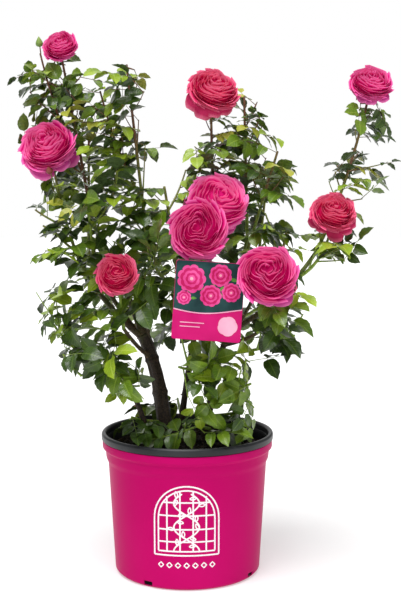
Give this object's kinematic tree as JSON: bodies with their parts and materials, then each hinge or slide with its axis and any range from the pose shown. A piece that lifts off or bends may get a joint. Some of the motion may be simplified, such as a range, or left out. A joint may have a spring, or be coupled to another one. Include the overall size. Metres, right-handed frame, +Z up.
{
  "type": "potted rose bush",
  "caption": "Shrub rose in bloom, with canes, leafy shoots and full pink blooms, growing in a round tapered nursery pot with a hanging plant tag.",
  "frame": {"origin": "centre of the pot's flat underside", "axes": "+Z up along the pot's axis, -Y towards the side with the tag and the print, +X to the right of it"},
  "size_m": [0.6142, 0.4194, 0.8766],
  "materials": {
    "pot_plastic": "satin bright pink blow-moulded plastic, white line print on the front",
    "lip_plastic": "satin black plastic",
    "potting_mix": "moist bark chips and peat",
    "bark": "rough brown bark, faintly furrowed, with thorns",
    "green_bark": "smooth young green bark with red thorns",
    "tag_plastic": "printed semi-gloss card",
    "foliage": "semi-gloss serrated leaves and matt petals"
  },
  "bodies": {
    "root": {"pot_wall": "pot_plastic", "pot_lip": "lip_plastic", "soil": "potting_mix", "main_cane": "bark", "left_cane": "bark", "centre_cane": "bark", "right_cane": "bark", "green_cane": "green_bark", "bough_top_left": "green_bark", "bough_far_left": "green_bark", "bough_left_back": "green_bark", "bough_inner_left": "green_bark", "bough_front_left": "green_bark", "bough_centre_top": "green_bark", "bough_centre_left": "green_bark", "bough_back_centre": "green_bark", "bough_right_upper": "green_bark", "bough_far_right": "green_bark", "bough_front_right": "green_bark", "bough_back_right": "green_bark", "hang_tag": "tag_plastic", "leaves_far_left": "foliage", "leaves_top_left": "foliage", "leaves_inner_left": "foliage", "leaves_front_left": "foliage", "leaves_left_front": "foliage", "leaves_low_left": "foliage", "leaves_low_left_inner": "foliage", "leaves_back_left": "foliage", "leaves_back_left_low": "foliage", "leaves_centre_top": "foliage", "leaves_centre_upper": "foliage", "leaves_centre_left": "foliage", "leaves_centre_front": "foliage", "leaves_back_centre": "foliage", "leaves_front_centre": "foliage", "leaves_low_centre": "foliage", "leaves_right_upper": "foliage", "leaves_right_middle": "foliage", "leaves_front_right": "foliage", "leaves_far_right": "foliage", "leaves_right_bloom": "foliage", "leaves_right_inner": "foliage", "leaves_low_right": "foliage", "leaves_low_right_front": "foliage", "leaves_back_right": "foliage", "leaves_back_right_low": "foliage", "leaves_basal_left": "foliage", "leaves_basal_centre": "foliage", "leaves_basal_right": "foliage", "leaves_basal_back": "foliage"}
  },
  "joints": []
}
